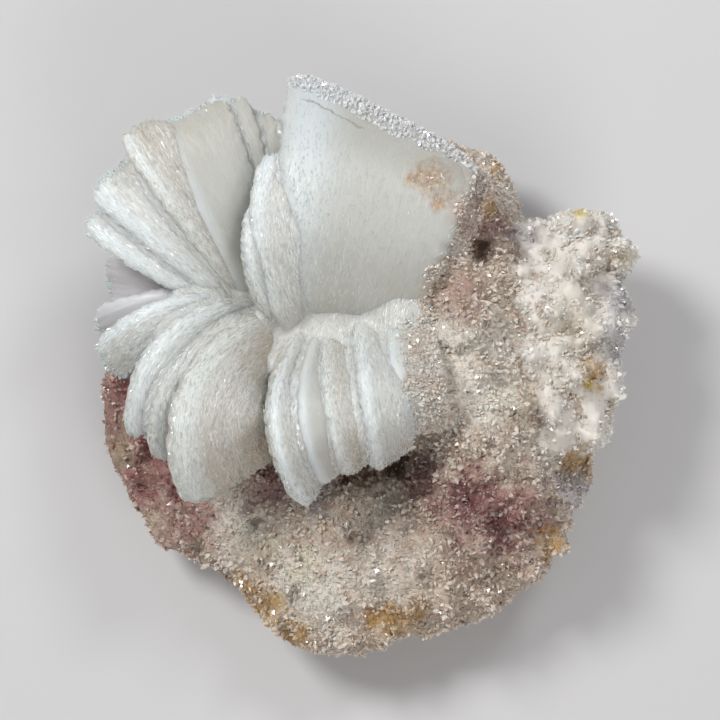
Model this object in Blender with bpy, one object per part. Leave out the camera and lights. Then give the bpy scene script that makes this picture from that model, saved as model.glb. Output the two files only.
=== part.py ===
"""Gypsum flower specimen: curved gypsum blades spread from one heart on a crystal-crusted rock.

The specimen lies on the flat back of its rock, with the flower up. The origin is the middle of the
footprint on the resting surface, +Z points up through the flower, and +Y points to the top of the
flower as it is looked at from above. Sizes are in millimetres and become metres at the end.
"""

import math
import random
from typing import NamedTuple

import bmesh
import bpy
from mathutils import Matrix, Vector, noise

MM = 0.001
GAP = 0.3  # clearance between touching pieces
CENTRING = Vector((-0.8, 2.25, 0.0))  # from the frame of the lists below to the footprint's middle

# Driving dimensions of the rock
ROCK_CENTRE = Vector((0.0, -4.0))
ROCK_LEVEL = 23.0  # general height of the rock's crust above its back
RIM_DROP = 4.5  # how far the crust falls to its rim
ROCK_CUTS = 11
RIM_ROUNDING = 6  # higher keeps the crust level further out before its rim falls
ROUGHNESS = 3.2  # height of the crust's uneven ground
ROUGH_SCALE = 11.0  # distance between its bumps
FOOT_SPREAD = 35.0  # degrees over which the outline is evened out at the back

# Radius of the rock's side as a share of the outline, from the back (0) to the crust's rim (1)
SIDE_PROFILE = ((0.0, 0.88), (0.35, 0.93), (0.75, 1.0), (1.0, 0.93))

# Flat broken faces of the rock's side: azimuth, tilt from level, distance from the rock's middle
BREAK_LEVEL = 12.0
BREAKS = (
    (-88, -36, 46), (-62, -8, 53), (-38, -42, 42), (-12, -20, 48), (8, -46, 39), (34, -26, 43),
    (62, -38, 40), (88, -12, 49), (112, -40, 41), (140, -22, 45), (166, -44, 41), (192, -16, 51),
    (214, -40, 43), (240, -10, 52), (252, -48, 41),
)

# The rock's widest outline, anticlockwise from the right
ROCK_OUTLINE = (
    (51.5, 2), (52, 14), (50, 22), (46, 28), (41, 30), (36, 28), (32, 25), (32, 33), (29, 41),
    (23, 42), (12, 46), (0, 50), (-9, 48), (-18, 42), (-28, 33), (-38, 22), (-46, 12), (-51, 3),
    (-54, -6), (-54.5, -14), (-51.5, -25), (-45.5, -30), (-43, -38), (-34, -39), (-25, -48),
    (-17, -57), (-10, -61), (1, -61), (9, -57), (24, -54.5), (33, -47), (40.5, -41.5),
    (45.5, -28), (49, -12),
)

# Rises and hollows of the crust: x, y, radius, height
ROCK_HILLS = (
    (25, -3, 12, 19),
    (20, 21, 11, 23),
    (8, 36, 12, 8),
    (26, -27, 14, 13),
    (-4, -48, 15, 5),
    (-46, -16, 12, -4),
    (0, -26, 7, -9),
    (45, 15, 10, -4),
)

# Driving dimensions of the flower
ROOT_HEIGHT = 27.0
BLADE_SEGMENTS = 10
BLADE_RINGS = 8
FLATNESS = 0.65  # below 1, a blade's section is boxier than an ellipse
UNDERSIDE = 0.75  # a blade's underside is flatter than its outer face
WIDENING = 0.8  # below 1, a blade widens mostly near its root
THINNING = 0.35  # share of its thickness that a blade loses on its way out
ROOT_BLUNTNESS = 20  # higher leaves less of a blade's end rounded
TIP_BLUNTNESS = (30, 10)  # the same at the tip, across the width and through the thickness


class Blade(NamedTuple):
    """One gypsum blade, in millimetres and degrees, seen from above with its root at the heart."""

    root: tuple[float, float]
    tip: tuple[float, float, float]
    bow: float  # how far the middle swings to the right of the straight way out
    crest: float  # height of the middle of the spine
    root_width: float
    tip_width: float
    thickness: float
    roll: float  # positive lifts the right-hand edge
    slant: float  # positive carries the tip's right-hand edge further out


BLADES = (
    # the thin blades at the left
    Blade((-21, 10), (-50.5, 16, 29), 1, 32, 7, 11, 4.5, 12, 0.5),
    Blade((-21, 9.5), (-51.5, 5.5, 33), 2.5, 38, 7, 10, 5, 14, -1),
    Blade((-20.5, 9), (-50, -1, 36), 4.5, 43, 6, 9, 5.5, 26, -1.5),
    # the fan at the upper left, from its lower edge round to the gap
    Blade((-21, 10.5), (-50, 30.5, 43), -1, 42, 7, 13, 6.5, 6, -2),
    Blade((-20, 11), (-48, 38, 46), -0.5, 46, 7, 13, 7, 14, -1),
    Blade((-20, 11.5), (-43, 45.5, 50), -0.5, 50, 5, 8, 6.5, -6, 0),
    Blade((-19, 12), (-36.5, 47, 47), 0.5, 46, 8, 16, 8, -22, 1),
    Blade((-18, 12), (-30.5, 49.5, 42), 1, 42, 7, 12, 6.5, -20, 1),
    Blade((-17, 12), (-23, 50, 37), 1, 39, 8, 15, 6.5, -14, -4.5),
    Blade((-14, 12), (-16, 47, 27), 0, 29, 6, 8, 5, 0, 0),
    # the broad blades at the top
    Blade((-3, 6.5), (5, 46.5, 38), 0, 50, 24, 40, 13, 2, -8.5),
    Blade((-13, 6), (-8, 54, 40), -0.5, 49, 11, 14, 11, -4, -4),
    Blade((9.5, 10), (19, 38.5, 36), 0, 46, 12, 16, 11, 8, -1),
    # the two narrow blades in front of the broad ones
    Blade((-13.5, 6), (-13.5, 39.5, 53), -3.5, 54, 8, 7.5, 7, -12, 2),
    Blade((-14, 7), (-19, 29, 49), -2.5, 48, 8, 6.5, 6.5, -20, 0),
    # the lower blades, curling down
    Blade((-19, 9), (-40.5, -13, 38), 6.5, 46, 8, 11, 7, 26, 1),
    Blade((-18, 8), (-36, -18, 35), 6, 44.5, 8, 12, 7, 20, 0),
    Blade((-16, 7), (-26, -24.5, 36.5), 7, 49, 10, 21, 8, 17, -2),
    Blade((-12, 4), (-9, -26.5, 40), 4.5, 55, 8, 7, 8, 24, 0),
    Blade((-8.5, 4.5), (-5, -22.5, 40.5), 3, 54, 6, 8, 7.5, 10, 0),
    Blade((-4, 5.5), (0.5, -20.5, 41), 1.5, 53, 8, 10, 8, 8, 0),
    Blade((2.5, 9), (6.5, -19.5, 41), 0.5, 53.5, 9, 10, 8.5, 10, 1),
    Blade((9, 10), (11.5, -13.5, 41), 0, 50, 9, 11, 9, 0, -2),
)

# Massive gypsum that the blades spring from: x, y, z, and half its length, width and height
HEART_LUMPS = (
    (-15, 8.5, 27, 10, 8, 10),
    (-18, 4, 34, 10, 7, 10),
    (-3, 8, 29, 12, 9, 13),
    (9, 9, 29, 11, 9, 17),
    (4, 24, 28, 17, 15, 16),
)

# Crystals of the rock's crust
CRYSTAL_COUNT = 62
CRYSTAL_SEED = 11
CRYSTAL_LENGTH = (9.0, 14.0)
CRYSTAL_WIDTH = (5.0, 9.0)
CRYSTAL_FLATNESS = 0.6  # thickness as a share of the width
CRYSTAL_POINT = (0.15, 0.6)  # width and thickness of the chisel end as shares of the root's
CRYSTAL_SINK = 0.6  # share of each crystal inside the rock
CRYSTAL_SPACING = 5.0
CRYSTAL_LEAN = 0.7
FLOWER_MARGIN = 3.0  # no crystal stands nearer than this to a blade
FLOWER_CLEARANCE = 12.0  # a blade this far above the crust leaves room for crystals

# Fused lumps of the pale growth on the right: x, y, height of its top, half length and width, turn
SIDE_LUMPS = (
    (43, 23, 41, 9, 6.5, 20),
    (35, 21, 38, 6, 7, 0),
    (51, 21, 36, 4, 3.5, -30),
    (38, 11, 43, 9, 9, 30),
    (47, 10, 39, 6.5, 9, 15),
    (38, 0, 42, 9, 8, -20),
    (46, -1, 38, 6, 9, 10),
    (37, -11, 40, 8, 8, 25),
    (44, -11, 37, 5.5, 8, 5),
)
SIDE_BASE = 17.0
LUMP_ROUGHNESS = 0.35

# Crystals standing on the pale growth: x, y, height, width, lean towards +X and +Y
SIDE_CRYSTALS = (
    (36, 25, 38, 7, -0.5, 0.5), (43, 26, 39, 8, 0.1, 0.6), (50, 22, 36, 6, 0.8, 0.4),
    (33, 17, 39, 8, -0.6, 0.1), (42, 18, 42, 8, 0.1, 0.2), (50, 13, 37, 7, 0.8, 0.0),
    (38, 9, 43, 9, -0.3, 0.2), (46, 6, 41, 7, 0.4, -0.1), (35, 1, 41, 8, -0.5, -0.1),
    (42, -2, 42, 8, 0.2, -0.2), (50, -7, 34, 6, 0.8, -0.2), (38, -10, 40, 8, -0.1, -0.3),
    (45, -14, 36, 7, 0.5, -0.5),
)
SIDE_CRYSTAL_LENGTH = 11.0


def clear_scene():
    for obj in list(bpy.data.objects):
        bpy.data.objects.remove(obj)


def new_collection(name):
    collection = bpy.data.collections.new(name)
    bpy.context.scene.collection.children.link(collection)
    return collection


def new_material(name, colour, roughness):
    material = bpy.data.materials.new(name)
    material.use_nodes = True
    shader = material.node_tree.nodes["Principled BSDF"]
    shader.inputs["Base Color"].default_value = (*colour, 1.0)
    shader.inputs["Roughness"].default_value = roughness
    shader.inputs["Metallic"].default_value = 0.0
    return material


def object_from(name, bm, collection, helper=False):
    """A new object from a bmesh that is in working millimetres."""
    mesh = bpy.data.meshes.new(name)
    bmesh.ops.translate(bm, verts=bm.verts, vec=CENTRING)
    bmesh.ops.scale(bm, verts=bm.verts, vec=(MM, MM, MM))
    bmesh.ops.recalc_face_normals(bm, faces=bm.faces)
    bm.to_mesh(mesh)
    bm.free()
    obj = bpy.data.objects.new(name, mesh)
    collection.objects.link(obj)
    if helper:
        obj.hide_render = True
        obj.display_type = "WIRE"
    return obj


def add_boolean(obj, name, operation, operands):
    modifier = obj.modifiers.new(name, "BOOLEAN")
    modifier.operation = operation
    modifier.operand_type = "COLLECTION"
    modifier.collection = operands
    modifier.solver = "EXACT"


def spine(blade):
    """Root, control and tip of the quadratic curve along a blade's middle."""
    root = Vector((*blade.root, ROOT_HEIGHT))
    tip = Vector(blade.tip)
    right = (tip - root).cross(Vector((0, 0, 1))).normalized()
    crest = Vector((*((root + tip) / 2 + right * blade.bow).xy, blade.crest))
    return root, 2 * crest - (root + tip) / 2, tip


def blade_point(blade, along, across, above, grow):
    """A point of a blade's surface; across and above are the cosine and sine round its section."""
    root, control, tip = spine(blade)
    back = 1 - along
    place = root * back * back + control * 2 * along * back + tip * along * along
    tangent = ((control - root) * back + (tip - control) * along).normalized()
    side = tangent.cross(Vector((0, 0, 1))).normalized()
    up = side.cross(tangent)
    roll = math.radians(blade.roll)
    wide = side * math.cos(roll) + up * math.sin(roll)
    face = up * math.cos(roll) - side * math.sin(roll)
    half_width = (blade.root_width + (blade.tip_width - blade.root_width) * along**WIDENING) / 2
    half_thick = blade.thickness / 2 * (1 - THINNING * along)
    if above < 0:
        half_thick *= UNDERSIDE
    root_end = math.sqrt(max(0.0, 1 - back**ROOT_BLUNTNESS))
    half_width *= root_end * math.sqrt(max(0.0, 1 - along ** TIP_BLUNTNESS[0]))
    half_thick *= root_end * math.sqrt(max(0.0, 1 - along ** TIP_BLUNTNESS[1]))
    above = math.copysign(abs(above) ** FLATNESS, above)
    ends = tangent * (blade.slant * across * along * along + grow * (2 * along - 1))
    return place + wide * (half_width + grow) * across + face * (half_thick + grow) * above + ends


def blade_mesh(blade, grow=0.0):
    bm = bmesh.new()
    bmesh.ops.create_uvsphere(bm, u_segments=BLADE_SEGMENTS, v_segments=BLADE_RINGS, radius=1.0)
    for vert in bm.verts:
        ring = math.hypot(vert.co.x, vert.co.y)
        across = vert.co.x / ring if ring > 1e-6 else 0.0
        above = vert.co.y / ring if ring > 1e-6 else 0.0
        along = (vert.co.z + 1) / 2
        vert.co = blade_point(blade, along, across, above, grow)
    return bm


def outline_radius(angle):
    """Distance from the rock's centre to its outline in that direction."""
    way = Vector((math.cos(angle), math.sin(angle)))
    best = 0.0
    for index, corner in enumerate(ROCK_OUTLINE):
        start = Vector(corner) - ROCK_CENTRE
        end = Vector(ROCK_OUTLINE[(index + 1) % len(ROCK_OUTLINE)]) - ROCK_CENTRE
        edge = end - start
        spread = way.cross(edge)
        if abs(spread) < 1e-9:
            continue
        distance = start.cross(edge) / spread
        share = start.cross(way) / spread
        if distance > 0 and -1e-6 <= share <= 1 + 1e-6:
            best = max(best, distance)
    return best


def even_radius(angle):
    """The outline's distance, evened out over its neighbourhood."""
    spread = math.radians(FOOT_SPREAD)
    steps = (-1.0, -0.5, 0.0, 0.5, 1.0)
    return sum(outline_radius(angle + spread * step) for step in steps) / len(steps)


def side_radius(angle, level):
    """The rock's radius: even at the back, following the outline closely towards the crust."""
    blend = min(1.0, max(0.0, (level - 0.2) / 0.5))
    even = even_radius(angle)
    return side_share(level) * (even + (outline_radius(angle) - even) * blend)


def side_share(level):
    """The side's radius at this share of its height, from the profile."""
    for (low, narrow), (high, broad) in zip(SIDE_PROFILE, SIDE_PROFILE[1:]):
        if level <= high:
            return narrow + (broad - narrow) * (level - low) / (high - low)
    return SIDE_PROFILE[-1][1]


def crust_height(x, y):
    height = ROCK_LEVEL
    for hill_x, hill_y, radius, rise in ROCK_HILLS:
        distance = math.hypot(x - hill_x, y - hill_y)
        height += rise * math.exp(-0.5 * (distance / radius) ** 2)
    return height


def rock_mesh():
    """A cube's surface drawn onto the rock: its top face is the crust, its bottom the flat back."""
    bm = bmesh.new()
    bmesh.ops.create_cube(bm, size=2.0)
    bmesh.ops.subdivide_edges(bm, edges=bm.edges, cuts=ROCK_CUTS, use_grid_fill=True)
    middle = Vector((*ROCK_CENTRE, BREAK_LEVEL))
    for vert in bm.verts:
        x, y, z = vert.co
        share = max(abs(x), abs(y))
        angle = math.atan2(y, x)
        level = (z + 1) / 2
        outward = Vector((math.cos(angle), math.sin(angle), 0.0))
        place = ROCK_CENTRE.to_3d() + outward * share * side_radius(angle, level)
        place.z = level * (crust_height(place.x, place.y) - RIM_DROP * share**RIM_ROUNDING)
        if level > 0:
            rough = ROUGHNESS * noise.fractal(place / ROUGH_SCALE, 0.8, 2.0, 3)
            place += (outward * (1 - abs(2 * level - 1)) + Vector((0, 0, level))) * rough
        for azimuth, tilt, distance in BREAKS:
            normal = Matrix.Rotation(math.radians(azimuth), 3, "Z") @ Vector((
                math.cos(math.radians(tilt)), 0.0, math.sin(math.radians(tilt)),
            ))
            beyond = (place - middle).dot(normal) - distance
            if beyond > 0:
                place -= normal * beyond
        vert.co = place
    flat_back = [face for face in bm.faces if max(vert.co.z for vert in face.verts) < 1e-6]
    bmesh.ops.dissolve_faces(bm, faces=flat_back, use_verts=True)
    return bm


def crystal_mesh(place, normal, turn, length, width, grow=0.0):
    """A flattened prism with a chisel end, standing along its normal."""
    bm = bmesh.new()
    bmesh.ops.create_cube(bm, size=1.0)
    for vert in bm.verts:
        narrow, thin = CRYSTAL_POINT if vert.co.z > 0 else (1.0, 1.0)
        vert.co = Vector((
            vert.co.x * (width * narrow + 2 * grow),
            vert.co.y * (width * CRYSTAL_FLATNESS * thin + 2 * grow),
            (vert.co.z + 0.5 - CRYSTAL_SINK) * length + math.copysign(grow, vert.co.z),
        ))
    stand = normal.to_track_quat("Z", "Y").to_matrix().to_4x4()
    matrix = Matrix.Translation(place) @ stand @ Matrix.Rotation(turn, 4, "Z")
    bmesh.ops.transform(bm, matrix=matrix, verts=bm.verts)
    return bm


def clear_of_flower(x, y, height):
    """True if no blade passes over or near this place of the crust."""
    for blade in BLADES:
        for step in range(9):
            along = step / 8
            middle = blade_point(blade, along, 0.0, -1.0, 0.0)
            wide = (blade.root_width + (blade.tip_width - blade.root_width) * along) / 2
            near = math.hypot(x - middle.x, y - middle.y) < wide + FLOWER_MARGIN
            if near and middle.z < height + FLOWER_CLEARANCE:
                return False
    return True


def crystal_places():
    """Seeded crystals of the crust, clear of flower and side growth: place, normal, turn, size."""
    chance = random.Random(CRYSTAL_SEED)
    places = []
    while len(places) < CRYSTAL_COUNT:
        angle = chance.uniform(0, 2 * math.pi)
        share = math.sqrt(chance.uniform(0.02, 1.0))
        reach = share * side_radius(angle, 1.0)
        x = ROCK_CENTRE.x + math.cos(angle) * reach
        y = ROCK_CENTRE.y + math.sin(angle) * reach
        height = crust_height(x, y) - RIM_DROP * share**RIM_ROUNDING
        length = chance.uniform(*CRYSTAL_LENGTH)
        width = chance.uniform(*CRYSTAL_WIDTH)
        lean = Vector((chance.uniform(-1, 1), chance.uniform(-1, 1), 0)) * CRYSTAL_LEAN
        out = Vector((math.cos(angle), math.sin(angle), 0)) * share**3
        turn = chance.uniform(0, math.pi)
        on_lump = any(math.hypot(x - lump[0], y - lump[1]) < lump[3] for lump in SIDE_LUMPS)
        crowded = any(math.hypot(x - p[0].x, y - p[0].y) < CRYSTAL_SPACING for p in places)
        if on_lump or crowded or not clear_of_flower(x, y, height):
            continue
        normal = (Vector((0, 0, 1)) + lean + out).normalized()
        places.append((Vector((x, y, height)), normal, turn, length, width))
    return places


def heart_mesh(lump, grow=0.0):
    """Massive gypsum at the blades' roots."""
    x, y, z, length, width, height = lump
    bm = bmesh.new()
    bmesh.ops.create_icosphere(bm, subdivisions=2, radius=1.0)
    bmesh.ops.scale(bm, vec=(length + grow, width + grow, height + grow), verts=bm.verts)
    bmesh.ops.translate(bm, vec=(x, y, z), verts=bm.verts)
    return bm


def lump_mesh(lump, grow=0.0):
    """One blocky lump of the pale growth, its top flattened and its faces uneven."""
    x, y, top, length, width, turn = lump
    height = (top - SIDE_BASE) / 2
    bm = bmesh.new()
    bmesh.ops.create_icosphere(bm, subdivisions=2, radius=1.0)
    for vert in bm.verts:
        square = max(abs(vert.co.x), abs(vert.co.y), abs(vert.co.z))
        uneven = 1 + LUMP_ROUGHNESS * noise.noise(vert.co * 1.7 + Vector((x, y, top)))
        vert.co *= uneven * (0.45 + 0.55 / square)
    bmesh.ops.scale(bm, vec=(length + grow, width + grow, height + grow), verts=bm.verts)
    spin = Matrix.Rotation(math.radians(turn), 4, "Z")
    matrix = Matrix.Translation((x, y, SIDE_BASE + height)) @ spin
    bmesh.ops.transform(bm, matrix=matrix, verts=bm.verts)
    return bm


def side_crystal_mesh(crystal, grow=0.0):
    x, y, z, width, lean_x, lean_y = crystal
    normal = Vector((lean_x, lean_y, 1)).normalized()
    return crystal_mesh(Vector((x, y, z)), normal, x, SIDE_CRYSTAL_LENGTH, width, grow)


def build_flower(parts, helpers, material):
    joined = new_helper_group(helpers, "flower_blades")
    for number, blade in enumerate(BLADES[1:], start=2):
        object_from(f"blade_{number}", blade_mesh(blade), joined, helper=True)
    for number, lump in enumerate(HEART_LUMPS, start=1):
        object_from(f"heart_lump_{number}", heart_mesh(lump), joined, helper=True)
    flower = object_from("flower", blade_mesh(BLADES[0]), parts)
    add_boolean(flower, "join blades", "UNION", joined)
    flower.data.materials.append(material)


def build_side_growth(parts, helpers, material):
    joined = new_helper_group(helpers, "side_lumps")
    for number, lump in enumerate(SIDE_LUMPS[1:], start=2):
        object_from(f"side_lump_{number}", lump_mesh(lump), joined, helper=True)
    for number, crystal in enumerate(SIDE_CRYSTALS, start=1):
        object_from(f"side_crystal_{number}", side_crystal_mesh(crystal), joined, helper=True)
    growth = object_from("side_crystals", lump_mesh(SIDE_LUMPS[0]), parts)
    add_boolean(growth, "join lumps", "UNION", joined)
    growth.data.materials.append(material)


def build_rock(parts, helpers, material):
    crystals = new_helper_group(helpers, "crust_crystals")
    for number, (place, normal, turn, length, width) in enumerate(crystal_places(), start=1):
        crystal = crystal_mesh(place, normal, turn, length, width)
        object_from(f"crystal_{number}", crystal, crystals, helper=True)
    sockets = new_helper_group(helpers, "rock_sockets")
    for number, blade in enumerate(BLADES, start=1):
        object_from(f"blade_socket_{number}", blade_mesh(blade, GAP), sockets, helper=True)
    for number, lump in enumerate(HEART_LUMPS, start=1):
        object_from(f"heart_socket_{number}", heart_mesh(lump, GAP), sockets, helper=True)
    for number, lump in enumerate(SIDE_LUMPS, start=1):
        object_from(f"lump_socket_{number}", lump_mesh(lump, GAP), sockets, helper=True)
    for number, crystal in enumerate(SIDE_CRYSTALS, start=1):
        object_from(f"side_crystal_socket_{number}", side_crystal_mesh(crystal, GAP), sockets, helper=True)
    rock = object_from("matrix", rock_mesh(), parts)
    add_boolean(rock, "grow crystals", "UNION", crystals)
    add_boolean(rock, "seat flower and side growth", "DIFFERENCE", sockets)
    rock.data.materials.append(material)


def new_helper_group(parent, name):
    group = bpy.data.collections.new(name)
    parent.children.link(group)
    return group


def main():
    clear_scene()
    parts = new_collection("gypsum_flower_specimen")
    helpers = new_collection("cutters")
    satin_gypsum = new_material("satin_gypsum", (0.80, 0.82, 0.80), 0.45)
    cloudy_gypsum = new_material("cloudy_gypsum", (0.76, 0.74, 0.71), 0.50)
    crusted_rock = new_material("crusted_rock", (0.56, 0.46, 0.42), 0.65)
    build_flower(parts, helpers, satin_gypsum)
    build_side_growth(parts, helpers, cloudy_gypsum)
    build_rock(parts, helpers, crusted_rock)


main()
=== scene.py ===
# Gypsum flower specimen: the looks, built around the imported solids
import math
import random

import bmesh
import bpy
import numpy as np
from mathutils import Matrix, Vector, noise


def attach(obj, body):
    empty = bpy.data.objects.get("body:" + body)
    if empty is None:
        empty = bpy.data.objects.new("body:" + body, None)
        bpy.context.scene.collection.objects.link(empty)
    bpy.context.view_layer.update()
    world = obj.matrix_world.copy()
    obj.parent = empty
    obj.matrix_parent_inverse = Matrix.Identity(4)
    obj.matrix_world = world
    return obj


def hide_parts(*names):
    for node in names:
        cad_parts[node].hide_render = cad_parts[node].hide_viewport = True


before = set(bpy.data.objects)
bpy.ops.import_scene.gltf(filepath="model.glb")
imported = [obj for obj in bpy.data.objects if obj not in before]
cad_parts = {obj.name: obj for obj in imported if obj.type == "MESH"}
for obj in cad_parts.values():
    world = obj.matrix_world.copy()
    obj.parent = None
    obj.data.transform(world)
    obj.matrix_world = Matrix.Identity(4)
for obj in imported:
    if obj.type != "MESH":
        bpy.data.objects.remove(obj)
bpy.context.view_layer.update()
mm = 0.001
# from the petals' frame, in which petals, lumps, zones and dents are given, to the middle of the footprint
centring = Vector((-0.8, 2.25, 0.0))


# Small helpers

def linkMesh(name, bm, material, smooth=True):
    mesh = bpy.data.meshes.new(name)
    bmesh.ops.recalc_face_normals(bm, faces=bm.faces)
    if bm.calc_volume(signed=True) < 0:
        bmesh.ops.reverse_faces(bm, faces=bm.faces)
    bm.to_mesh(mesh)
    bm.free()
    piece = bpy.data.objects.new(name, mesh)
    bpy.context.scene.collection.objects.link(piece)
    mesh.materials.append(material)
    if smooth:
        mesh.shade_smooth()
    return piece


def dress(piece, node):
    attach(piece, "root")
    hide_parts(node)


def coat(piece, material):
    piece.data.materials.clear()
    piece.data.materials.append(material)


def mapFibres(bm, layer, spots):
    # writes each vertex's place on the fibre map to the corners of its faces
    for face in bm.faces:
        for loop in face.loops:
            loop[layer].uv = spots[loop.vert]


def clamp(value, low=0.0, high=1.0):
    return max(low, min(high, value))


def between(ends, share):
    return ends[0] + (ends[1] - ends[0]) * share


def petalsFrame(place):
    # x, y and z of a place of the scene, in millimetres of the petals' frame
    return tuple(value / mm - shift for value, shift in zip(place, centring))


# Node helpers

def newMaterial(name):
    material = bpy.data.materials.new(name)
    material.use_nodes = True
    tree = material.node_tree
    return material, tree, tree.nodes["Principled BSDF"]


def link(tree, output, target):
    tree.links.new(output, target)


def addNode(tree, kind, **values):
    node = tree.nodes.new(kind)
    for key, value in values.items():
        setattr(node, key, value)
    return node


def setInputs(node, values):
    for name, value in values.items():
        node.inputs[name].default_value = value


def noiseOn(tree, source, scale, detail=4.0, roughness=0.55, distortion=0.0):
    node = addNode(tree, "ShaderNodeTexNoise")
    setInputs(node, {"Scale": scale, "Detail": detail, "Roughness": roughness, "Distortion": distortion})
    link(tree, source, node.inputs["Vector"])
    return node.outputs["Fac"]


def rampOn(tree, source, stops):
    node = addNode(tree, "ShaderNodeValToRGB")
    while len(node.color_ramp.elements) < len(stops):
        node.color_ramp.elements.new(0.5)
    for element, (place, colour) in zip(node.color_ramp.elements, stops):
        element.position = place
        element.color = (*colour, 1.0) if isinstance(colour, tuple) else (colour, colour, colour, 1.0)
    link(tree, source, node.inputs["Fac"])
    return node.outputs["Color"]


def mixOn(tree, amount, below, above):
    node = addNode(tree, "ShaderNodeMix", data_type="RGBA")
    if isinstance(amount, float):
        node.inputs["Factor"].default_value = amount
    else:
        link(tree, amount, node.inputs["Factor"])
    for socket, value in ((node.inputs["A"], below), (node.inputs["B"], above)):
        if isinstance(value, tuple):
            socket.default_value = (*value, 1.0)
        else:
            link(tree, value, socket)
    return node.outputs["Result"]


def mathOn(tree, operation, first, second=0.0, limit=False):
    node = addNode(tree, "ShaderNodeMath", operation=operation, use_clamp=limit)
    for socket, value in ((node.inputs[0], first), (node.inputs[1], second)):
        if isinstance(value, float):
            socket.default_value = value
        else:
            link(tree, value, socket)
    return node.outputs[0]


def bumpOn(tree, height, strength, distance, normal):
    node = addNode(tree, "ShaderNodeBump")
    setInputs(node, {"Strength": strength, "Distance": distance})
    link(tree, height, node.inputs["Height"])
    link(tree, normal, node.inputs["Normal"])
    return node.outputs["Normal"]


def objectCoords(tree):
    return addNode(tree, "ShaderNodeTexCoord").outputs["Object"]


def attributeOn(tree, name):
    return addNode(tree, "ShaderNodeAttribute", attribute_name=name).outputs["Fac"]


def wobbleOn(tree, source, reach):
    # centres a noise on zero and stretches it
    return mathOn(tree, "MULTIPLY", mathOn(tree, "SUBTRACT", source, 0.5), reach)


def fadeOn(tree, source, start, end, top=1.0):
    # rises smoothly from 0 at start to top at end
    node = addNode(tree, "ShaderNodeMapRange", interpolation_type="SMOOTHSTEP")
    setInputs(node, {"From Min": start, "From Max": end, "To Max": top})
    link(tree, source, node.inputs["Value"])
    return node.outputs[0]


def scaledOn(tree, source, scale):
    node = addNode(tree, "ShaderNodeMapping")
    node.inputs["Scale"].default_value = scale
    link(tree, source, node.inputs["Vector"])
    return node.outputs[0]


def vectorOn(tree, operation, first, second=None):
    node = addNode(tree, "ShaderNodeVectorMath", operation=operation)
    for socket, value in ((node.inputs[0], first), (node.inputs[1], second)):
        if isinstance(value, tuple):
            socket.default_value = value
        elif value is not None:
            link(tree, value, socket)
    valued = operation in ("DISTANCE", "DOT_PRODUCT")
    return node.outputs["Value" if valued else "Vector"]


def cellsOn(tree, source, scale):
    # random cells, and their colour's channels as random numbers
    cells = addNode(tree, "ShaderNodeTexVoronoi")
    cells.inputs["Scale"].default_value = scale
    link(tree, source, cells.inputs["Vector"])
    channels = addNode(tree, "ShaderNodeSeparateColor")
    link(tree, cells.outputs["Color"], channels.inputs["Color"])
    return cells.outputs, channels.outputs


def facetsOn(tree, source, scale, tilt, flashes):
    # cells that each face their own way, a share of them turned further so that they flash
    cells, channels = cellsOn(tree, source, scale)
    still = 1.0 - flashes
    chosen = rampOn(tree, channels["Green"], ((still, tilt), (still + 0.02, tilt * 2.0)))
    lean = vectorOn(tree, "SUBTRACT", cells["Color"], (0.5, 0.5, 0.5))
    lean = vectorOn(tree, "MULTIPLY", lean, chosen)
    surface = addNode(tree, "ShaderNodeNewGeometry").outputs["Normal"]
    turned = vectorOn(tree, "ADD", surface, lean)
    return vectorOn(tree, "NORMALIZE", turned), channels["Red"]


# Spots: the share that height counts for and the level they sit at (m), and the shares of their radius
# at which they begin and are full
spotShape = {"flatten": 0.12, "level": 0.0042, "outer": 1.15, "inner": 0.35}


def spotsOn(tree, coords, spots, raggedness=3.0, wobbleScale=260.0):
    # 0 outside the spots and their strength within, with a ragged edge
    wobble = noiseOn(tree, coords, wobbleScale, 5.0, 0.7)
    flat = vectorOn(tree, "MULTIPLY", coords, (1.0, 1.0, spotShape["flatten"]))
    reach = None
    for x, y, radius, strength in spots:
        middle = ((x + centring.x) * mm, (y + centring.y) * mm, spotShape["level"])
        apart = vectorOn(tree, "DISTANCE", flat, middle)
        ragged = mathOn(tree, "ADD", apart, wobbleOn(tree, wobble, radius * mm * raggedness))
        outer = radius * mm * spotShape["outer"]
        inner = radius * mm * spotShape["inner"]
        fade = fadeOn(tree, ragged, outer, inner, strength)
        reach = fade if reach is None else mathOn(tree, "MAXIMUM", reach, fade)
    return reach


def crackOn(tree, coords, start, end, width, wander):
    # 1 on a ragged line between two places, fading over a millimetre at its ends
    start = (Vector((*start, 0.0)) + centring) * mm
    end = (Vector((*end, 0.0)) + centring) * mm
    way = (end - start).normalized()
    aside = Vector((-way.y, way.x, 0.0))
    wobble = wobbleOn(tree, noiseOn(tree, coords, 380.0, 4.0, 0.7), wander * mm)
    offset = vectorOn(tree, "DOT_PRODUCT", coords, tuple(aside))
    offset = mathOn(tree, "ADD", mathOn(tree, "SUBTRACT", offset, start.dot(aside)), wobble)
    share = mathOn(tree, "DIVIDE", mathOn(tree, "ABSOLUTE", offset), width * mm)
    near = mathOn(tree, "SUBTRACT", 1.0, share, True)
    travel = vectorOn(tree, "DOT_PRODUCT", coords, tuple(way))
    travel = mathOn(tree, "SUBTRACT", travel, start.dot(way))
    toGo = mathOn(tree, "SUBTRACT", (end - start).length, travel)
    begun = mathOn(tree, "MULTIPLY", travel, 1 / mm, True)
    left = mathOn(tree, "MULTIPLY", toGo, 1 / mm, True)
    return mathOn(tree, "MULTIPLY", near, mathOn(tree, "MULTIPLY", begun, left))


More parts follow.
